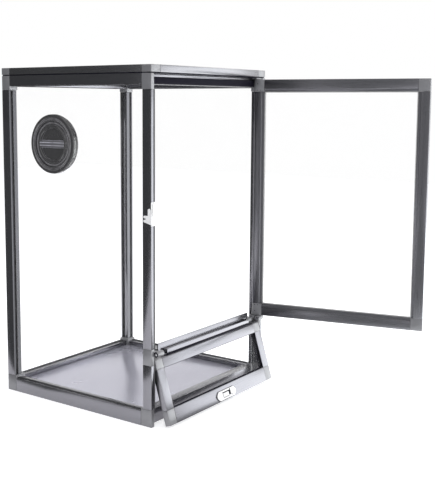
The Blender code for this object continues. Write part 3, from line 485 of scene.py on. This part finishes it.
def softened(name, old, look, body, edge):
    """A CAD piece's shape with its edges rounded."""
    mesh = bmesh.new()
    mesh.from_mesh(frame["nodes"][old].data)
    bmesh.ops.remove_doubles(mesh, verts=mesh.verts, dist=WELD)
    bmesh.ops.dissolve_limit(mesh, angle_limit=FLAT, verts=mesh.verts, edges=mesh.edges)
    eased(mesh, edge)
    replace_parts(added(name, mesh, look, body), old)


def direction_of(name):
    """The axis that a post, stile or rail runs along."""
    if name.startswith("post") or "stile" in name:
        return "z"
    return "y" if name.endswith(("_left", "_right")) else "x"


def dress(name, body):
    """Gives one CAD piece its softened shape and its finish. The port and the mesh have their own."""
    if name.startswith("post") or "rail" in name or "stile" in name:
        look = f"{'frame' if body == 'cage' else body}_{direction_of(name)}"
        softened(name + "_extrusion", name, look, body, EXTRUSION_EDGE)
    elif "corner" in name or name.startswith("tee"):
        softened(name + "_moulding", name, "block", body, MOULDED_EDGE)
    elif name == "floor_panel":
        softened(name + "_sheet", name, "floor", body, SHEET_EDGE)
    elif "panel" in name:
        softened(name + "_sheet", name, "acrylic", body, SHEET_EDGE)
    elif "latch" in name:
        softened(name + "_casting", name, "latch", body, EXTRUSION_EDGE)


def surround(normal, span, across, upright, width=GASKET):
    """The corners of four bars that line an opening, in a plane across x, y or z."""
    (a0, a1), (b0, b1) = across, upright
    inner = (b0 + width, b1 - width)
    sides = (
        ((a0, a1), (b0, b0 + width)), ((a0, a1), (b1 - width, b1)),
        ((a0, a0 + width), inner), ((a1 - width, a1), inner),
    )
    found = []
    for (c0, c1), (d0, d1) in sides:
        low, high = [c0, d0], [c1, d1]
        low.insert("xyz".index(normal), span[0])
        high.insert("xyz".index(normal), span[1])
        found.append((low, high))
    return found


def gaskets():
    """Rubber along both faces of every clear panel and pane."""
    sides = (FRONT + SECTION, BACK - SECTION)
    across = (SECTION - HALF, HALF - SECTION)
    upright = (BASE_RAIL_TOP, TOP_RAIL_LOW)
    for side, normal, opening in (("left", "x", sides), ("right", "x", sides), ("back", "y", across)):
        low, high = extent("panel_" + side, normal)
        spans = surround(normal, (low - PROUD, low - TOUCH), opening, upright)
        spans += surround(normal, (high + TOUCH, high + PROUD), opening, upright)
        bars("gasket_" + side, spans, "lip", "cage")

    front = (PANE_FRONT - PROUD, PANE_FRONT - TOUCH)
    spans = surround("y", front, *DOOR_OPENING)
    spans += surround("y", (PANE_BACK + TOUCH, PANE_BACK + 0.0022), *DOOR_OPENING, width=0.0024)
    bars("door_gasket", spans, "vinyl", "door", place=SWING["door"])
    spans = surround("y", front, *FLAP_OPENING, width=0.0013)
    spans += surround("y", (PANE_BACK + TOUCH, LEAF_BACK - PROUD), *FLAP_OPENING)
    bars("flap_gasket", spans, "seal", "flap", place=SWING["flap"])


def seals():
    """The strips that the door, the flap and the lid close against. The dark ones in the top rail's channel, under
    the mid rail and under the lid are also painted shade of those recesses and gaps.
    """
    low = TOP_RAIL_LOW + 2 * TOUCH
    # Painted shade: the dark band in the top rail's channel is a door seal and also stands for the shaded recess
    # under the lid.
    wide, root = HALF - 0.0265, FRONT + 0.0186
    band = ((-wide, root - 0.0029, low + 0.0017), (wide, root, low + 0.0163))
    ridge = ((-wide, root - 0.0032, low + 0.0060), (wide, root - 0.0026, low + 0.0068))
    bars("head_seal_and_shade", [band, ridge], "seal", "cage", edge=FINE_EDGE)
    bars("head_lip", [((-wide, root - 0.0032, low), (wide, root, low + 0.0015))], "lip", "cage")

    inner = HALF - STRIP
    outer = inner + 0.0046
    room = 0.0012  # for the hinge stile of the door when it stands fully open
    face, foot, end = FRONT - 0.0004, FRONT - TOUCH, 0.0004
    spans = []
    for low, high in ((BASE_BLOCK_TOP, TEE_LOW), (TEE_TOP, CLIP_LOW), (CLIP_TOP, TOP_BLOCK_LOW)):
        spans.append(((-outer, face, low + end), (-inner, foot, high - end)))
    for low, high in ((BASE_BLOCK_TOP, TEE_LOW), (TEE_TOP, TOP_BLOCK_LOW)):
        spans.append(((inner + room, face, low + end), (outer, foot, high - end)))
    bars("strip_seals", spans, "lip", "cage", edge=THIN_EDGE)

    # Painted shade: a dark strip under the mid rail, a seal that also stands for the shaded gap between the rail
    # and the flap.
    reach = extent("tee_right", "x")[0] - 0.0023  # it ends short of the tees
    hanging = ((-reach, BAR_FRONT - 0.0012, BAR_LOW - 0.0014), (reach, BAR_FRONT - TOUCH, BAR_LOW + 0.0022))
    bars("flap_seal_and_gap_shade", [hanging], "seal", "cage", edge=FINE_EDGE)

    # Painted shade: a dark rim that fills the gap between body and lid and shows as its shaded line.
    inset = 0.0015
    rim = surround("z", (BODY_TOP + TOUCH, BODY_TOP + 0.0023), (inset - HALF, HALF - inset),
                   (FRONT + inset, BACK - inset), width=0.004)
    bars("lid_seal_and_gap_shade", rim, "seal", "cage")


def port_piece(name, profile, old, body):
    """One turned piece of the port in place of its CAD node."""
    mesh = bmesh.new()
    turned(mesh, PORT, PORT_AXIS, profile, PORT_STEPS)
    closed(mesh)
    eased(mesh, PORT_EDGE)
    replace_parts(added(name, mesh, "port", body), old)


def port():
    """The drum clamped in the left panel, its twist cap, and the cap's grip bar."""
    hole, drum, nut, bore, seat = 0.052, 0.069, 0.066, 0.049, 0.054
    inside, top = -0.0043, 0.0118
    ledge, nut_face, shoulder = top - 0.006, inside - 0.003, 0.003
    land, ridge, bank, hollow = 0.061, 0.057, 0.0012, top - 0.002
    ring = [
        (bore, nut_face), (nut, nut_face), (nut, inside), (hole - FIT, inside), (hole - FIT, FIT),
        (drum, FIT), *arc(drum - shoulder, top - shoulder, shoulder, 0, 90), (land, top),
        (land - bank, hollow), (ridge + bank, hollow), (ridge, top), (seat, top), (seat, ledge),
        (bore, ledge),
    ]
    port_piece("port_drum", ring, "port_ring", "cage")

    skirt, inner_skirt, rim, bead = 0.0487, 0.0442, 0.041, 0.0035
    flat = top - 0.003
    dish = flat + bead - 0.0055
    underside, line, line_half = dish - 0.003, seat - 0.0047, 0.0012
    cap = [
        (0, underside), (inner_skirt, underside), (inner_skirt, inside), (skirt, inside),
        (skirt, ledge + FIT), (seat - FIT, ledge + FIT), (seat - FIT, flat),
        (line + line_half, flat), (line, flat + 0.0009), (line - line_half, flat),
        *arc(rim, flat, bead, 0, 180, steps=12), (rim - bead, dish), (0, dish),
    ]
    port_piece("port_cap_shell", cap, "port_cap", "port_cap")

    foot, side, crest = dish - 0.0015, dish + 0.0015, flat + 0.003
    half, crest_half = 0.009, 0.0035
    outline = [(foot, -half), (side, -half), (crest, -crest_half)]
    outline += [(height, -across) for height, across in reversed(outline)]
    mesh = bmesh.new()
    slab(mesh, [PORT + Vector((-height, -rim, across)) for height, across in outline], (0, 2 * rim, 0))
    eased(mesh, MOULDED_EDGE, segments=3)
    added("port_cap_grip", mesh, "grip", "port_cap")


def woven_lid():
    """The lid's wire mesh: two sets of wires that pass over and under each other."""
    pitch = ((LID_X[1] - LID_X[0]) / WIRES[0], (LID_Y[1] - LID_Y[0]) / WIRES[1])
    starts = (LID_X[0] - pitch[0] / 2, LID_Y[0] - pitch[1] / 2)
    for along, name in ((0, "lid_weft"), (1, "lid_warp")):
        across = 1 - along
        step = Vector((0, 0, 0))
        step[along] = pitch[along]
        turn = Matrix.Rotation(math.pi / 2, 4, "YX"[along])
        mesh = bmesh.new()
        for number in range(WIRES[across]):
            at = Vector((0, 0, MESH_LEVEL))
            at[along] = starts[along]
            at[across] = starts[across] + (number + 1) * pitch[across]
            bmesh.ops.create_circle(mesh, segments=4, radius=WIRE, matrix=Matrix.Translation(at) @ turn)
        bmesh.ops.spin(mesh, geom=[*mesh.verts, *mesh.edges], cent=(0, 0, 0), axis=(0, 0, 1), dvec=step,
                       angle=0, steps=WIRES[along] + 1)
        for vert in mesh.verts:
            crossing = round((vert.co[along] - starts[along]) / pitch[along])
            number = round((vert.co[across] - starts[across]) / pitch[across])
            vert.co.z += WAVE if (crossing + number) % 2 == along else -WAVE
        bmesh.ops.holes_fill(mesh, edges=mesh.edges, sides=4)
        bmesh.ops.recalc_face_normals(mesh, faces=mesh.faces)
        wires = added(name, mesh, "mesh", "lid", angle=WIRE_SHARP)
        if name == "lid_weft":
            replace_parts(wires, "lid_mesh")


def finished(name, mesh, look, body, place=HERE):
    """Ends a piece that was drawn closed: its place, its faces, its finish and its body."""
    bmesh.ops.transform(mesh, verts=mesh.verts, matrix=place)
    closed(mesh)
    added(name, mesh, look, body)


def screw(mesh, at, axis, radius=0.0011, height=0.0004):
    """A small domed screw head with a round socket."""
    socket = 0.2 * height
    profile = [
        (0, socket), (0.38 * radius, socket), (0.42 * radius, height), (0.75 * radius, 0.85 * height),
        (radius, 0.35 * height), (radius, -height), (0, -height),
    ]
    turned(mesh, at, axis, profile, SCREW_STEPS)


def fastenings():
    """Screws in the door's hinge blocks, and the washer and studs of the bosses."""
    mesh = bmesh.new()
    near, far, apart = 0.2065, 0.1985, 0.016
    for level, away in ((0.2005, -apart), (0.7505, apart)):
        for x, z in ((near, level), (far, level), (near, level + away)):
            screw(mesh, Vector((x, LEAF_BACK, z)), Vector((0, 1, 0)))
    finished("door_screws", mesh, "seal", "door", SWING["door"])

    outer, inner, left = Vector((-BOSS_OUTER, *BOSS)), Vector((BOSS_INNER, *BOSS)), Vector((-1, 0, 0))
    mesh = bmesh.new()
    washer = [(0.0036, -0.0002), (0.0058, -0.0002), (0.0058, 0.0005), (0.0036, 0.0005)]
    turned(mesh, outer, left, washer, STUD_STEPS)
    finished("boss_washer", mesh, "seal", "cage")

    mesh = bmesh.new()
    dome = [
        (0, 0.0014), (0.0016, 0.0013), (0.0026, 0.0010), (0.0031, 0.0004), (0.0031, -0.0004), (0, -0.0004),
    ]
    button = [(0, 0.0008), (0.0046, 0.0007), (0.0056, 0.0003), (0.0056, -0.0003), (0, -0.0003)]
    turned(mesh, outer, left, dome, STUD_STEPS)
    turned(mesh, inner, left, button, STUD_STEPS)
    finished("boss_studs", mesh, "steel", "cage")


def latch_shadow_outline():
    """A thin dark pad under the flap's latch plate, a little larger than it: painted shadow that shows as a thin
    dark line round the plate.
    """
    left, right = extent("flap_latch_plate", "x")
    low, high = 0.0033, 0.0253
    cut, out = 0.008, 0.0009
    face, depth = FRONT - 0.0006, 0.0011
    outline = [
        (left - out, low + cut), (left + cut, low - out), (right - cut, low - out),
        (right + out, low + cut), (right + out, high - cut), (right - cut, high + out),
        (left + cut, high + out), (left - out, high - cut),
    ]
    mesh = bmesh.new()
    slab(mesh, [Vector((x, face, z)) for x, z in outline], (0, depth, 0))
    finished("flap_latch_shadow_outline", mesh, "seal", "flap", SWING["flap"])


def latch_details():
    """What lies in and on the flap's latch plate: a dark back to the slot and a dark L along the slot's top and
    right edges, both painted shade, and the rib, grip and screw.
    """
    plate = FRONT - 0.0027
    proud, sunk = plate - 0.0004, plate + 0.0002
    turn = SWING["flap"]
    # Painted shade: the slot's dark inside, and the L-shaped shadow edge above and to the right of it.
    slot = ((-0.0079, plate + 0.0014, 0.0094), (0.0259, plate + 0.0018, 0.0192))
    bars("flap_latch_slot_shade", [slot], "seal", "flap", place=turn, edge=THIN_EDGE)
    level = ((-0.009, proud, 0.0195), (0.0235, sunk, 0.0213))
    upright = ((0.0215, proud, 0.0205), (0.0235, sunk, 0.0246))
    bars("flap_latch_shadow_edge", [level, upright], "seal", "flap", place=turn, edge=THIN_EDGE)
    rib = ((-0.006, plate - 0.0003, 0.0077), (0.017, sunk, 0.0089))
    bars("flap_latch_rib", [rib], "lip", "flap", place=turn, edge=THIN_EDGE)

    slide, half = plate - 0.0022, 0.0006
    ridges = [((x - half, slide - 0.0005, 0.0103), (x + half, slide + 0.0002, 0.0183))
              for x in (-0.0002, 0.0033, 0.0068)]
    bars("flap_latch_grip", ridges, "latch", "flap_latch", turn, FINE_EDGE)
    mesh = bmesh.new()
    screw(mesh, Vector((0.0285, plate, 0.0083)), Vector((0, -1, 0)), radius=0.0015)
    finished("flap_latch_screw", mesh, "seal", "flap", turn)


def camera():
    """The camera where the photograph was taken from."""
    data = bpy.data.cameras.new("camera")
    data.lens = CAMERA_LENS
    data.sensor_width = CAMERA_SENSOR
    data.shift_x, data.shift_y = CAMERA_SHIFT
    made = bpy.data.objects.new("camera", data)
    bpy.context.scene.collection.objects.link(made)
    turn = Matrix.Rotation(math.radians(CAMERA_YAW), 4, "Z")
    turn @= Matrix.Rotation(math.radians(90 + CAMERA_PITCH), 4, "X")
    turn @= Matrix.Rotation(math.radians(CAMERA_ROLL), 4, "Z")
    made.matrix_world = Matrix.Translation(CAMERA_AT) @ turn
    bpy.context.scene.camera = made


def emptied(made):
    """The node tree of a new material or world, with nothing in it."""
    made.use_nodes = True
    made.node_tree.nodes.clear()
    return made.node_tree


def looked_at(tree):
    """1 where the camera sees something, directly or in gloss and glass, and 0 where it only lights."""
    path = node(tree, "LightPath").outputs
    rays = path["Is Camera Ray"]
    for other in ("Is Glossy Ray", "Is Transmission Ray"):
        rays = node(tree, "Math", {"operation": "MAXIMUM"}, i0=rays, i1=path[other]).outputs[0]
    return rays


def mixed(tree, mask, first, second, output):
    """Ends a tree with one of two shaders, as a mask says."""
    both = node(tree, "MixShader", i0=mask, i1=first.outputs[0], i2=second.outputs[0])
    node(tree, output, Surface=both.outputs[0])


def backdrop():
    """A world that looks white and lights softly, and a pale floor that keeps the shadow."""
    world = bpy.data.worlds.new("studio")
    bpy.context.scene.world = world
    tree = emptied(world)
    light = node(tree, "Background", Color=(0.95, 0.96, 1, 1), Strength=0.55)
    white = node(tree, "Background", Color=(1, 1, 1, 1), Strength=1.0)
    mixed(tree, looked_at(tree), light, white, "OutputWorld")

    made = bpy.data.materials.new("studio_floor")
    tree = emptied(made)
    matt = node(tree, "BsdfDiffuse", Color=(0.93, 0.93, 0.94, 1))
    glow = node(tree, "Emission", Color=(1, 1, 1, 1), Strength=0.55)
    both = node(tree, "AddShader", i0=matt.outputs[0], i1=glow.outputs[0])
    mixed(tree, looked_at(tree), matt, both, "OutputMaterial")
    plane("studio_floor", (0, 0, -0.0005), (0, 0, 1), 12, 12, made)


def plane(name, at, facing, width, height, material):
    """A flat card that is part of the studio."""
    mesh = bmesh.new()
    bmesh.ops.create_grid(mesh, x_segments=1, y_segments=1, size=0.5)
    bmesh.ops.scale(mesh, verts=mesh.verts, vec=(width, height, 1))
    turn = Vector(facing).to_track_quat("Z", "Y").to_matrix().to_4x4()
    bmesh.ops.transform(mesh, verts=mesh.verts, matrix=Matrix.Translation(at) @ turn)
    made = placed(name, mesh)
    made.data.materials.append(material)
    return made


def one_sided(name, strength):
    """A card's material: as bright as it should look in the metal, and clear from behind."""
    made = bpy.data.materials.new(name)
    tree = emptied(made)
    glow = node(tree, "Emission", Color=(0.97, 1, 1, 1), Strength=strength)
    clear = node(tree, "BsdfTransparent")
    mixed(tree, node(tree, "NewGeometry").outputs["Backfacing"], glow, clear, "OutputMaterial")
    return made


def cards():
    """Dark and light cards that only the gloss of the metal shows: place, facing, size and strength."""
    for name, at, facing, width, height, strength in (
        ("dark_card_back", (-2.15, 0.86, 1.5), (0, -1, 0), 3.7, 3.0, 0.17),
        ("grey_card_left", (-3.6, -1.1, 1.5), (1, 0, 0), 3.0, 3.9, 0.38),
        ("dark_card_low", (-2.175, 0.62, 0.001), (0, 0, 1), 3.75, 0.48, 0.17),
        ("grey_card_low", (-1.73, -0.62, 0.001), (0, 0, 1), 3.74, 1.1, 0.38),
        ("soft_box_right", (2.0, -1.75, 0.65), (-0.8, 0.6, 0), 2.2, 1.7, 3.4),
        ("soft_card_low", (1.58, -1.53, 0.002), (0, 0, 1), 3.06, 2.94, 3.3),
        ("flag_back_left", (-0.2205, 0.4075, 0.4), (0, 1, 0), 0.03, 0.72, 0.9),
        ("flag_back_right", (0.2205, 0.4075, 0.4), (0, 1, 0), 0.03, 0.72, 1.4),
        ("flag_behind", (0.25, 0.50, 0.76), (0, -1, 0), 1.2, 0.14, 0.15),
    ):
        made = plane(name, at, facing, width, height, one_sided(name, strength))
        made.visible_camera = made.visible_diffuse = made.visible_shadow = made.visible_transmission = False


def lamp(name, at, towards, size, power, colour):
    """A square soft lamp, turned to what it lights and unseen in the gloss."""
    data = bpy.data.lights.new(name, "AREA")
    data.size = size
    data.energy = power
    data.color = colour
    made = bpy.data.objects.new(name, data)
    bpy.context.scene.collection.objects.link(made)
    made.visible_glossy = made.visible_camera = False
    made.location = at
    made.rotation_euler = (Vector(towards) - Vector(at)).to_track_quat("-Z", "Y").to_euler()


camera()
for body, members in frame["record"]["behaviour"]["bodies"].items():
    for member in members:
        dress(member, body)
gaskets()
seals()
port()
woven_lid()
fastenings()
latch_shadow_outline()
latch_details()

backdrop()
cards()
lamp("key", (1.9, -2.2, 1.7), (0, 0, 0.35), 1.8, 60, (1, 0.99, 0.97))
lamp("fill", (-2.4, -1.4, 2.4), (0, 0, 0.4), 1.6, 26, (0.97, 0.98, 1))
lamp("top", (0, 0.2, 2.8), (0, 0, 0), 2.2, 30, (1, 1, 1))
bpy.context.scene.view_settings.view_transform = "Standard"
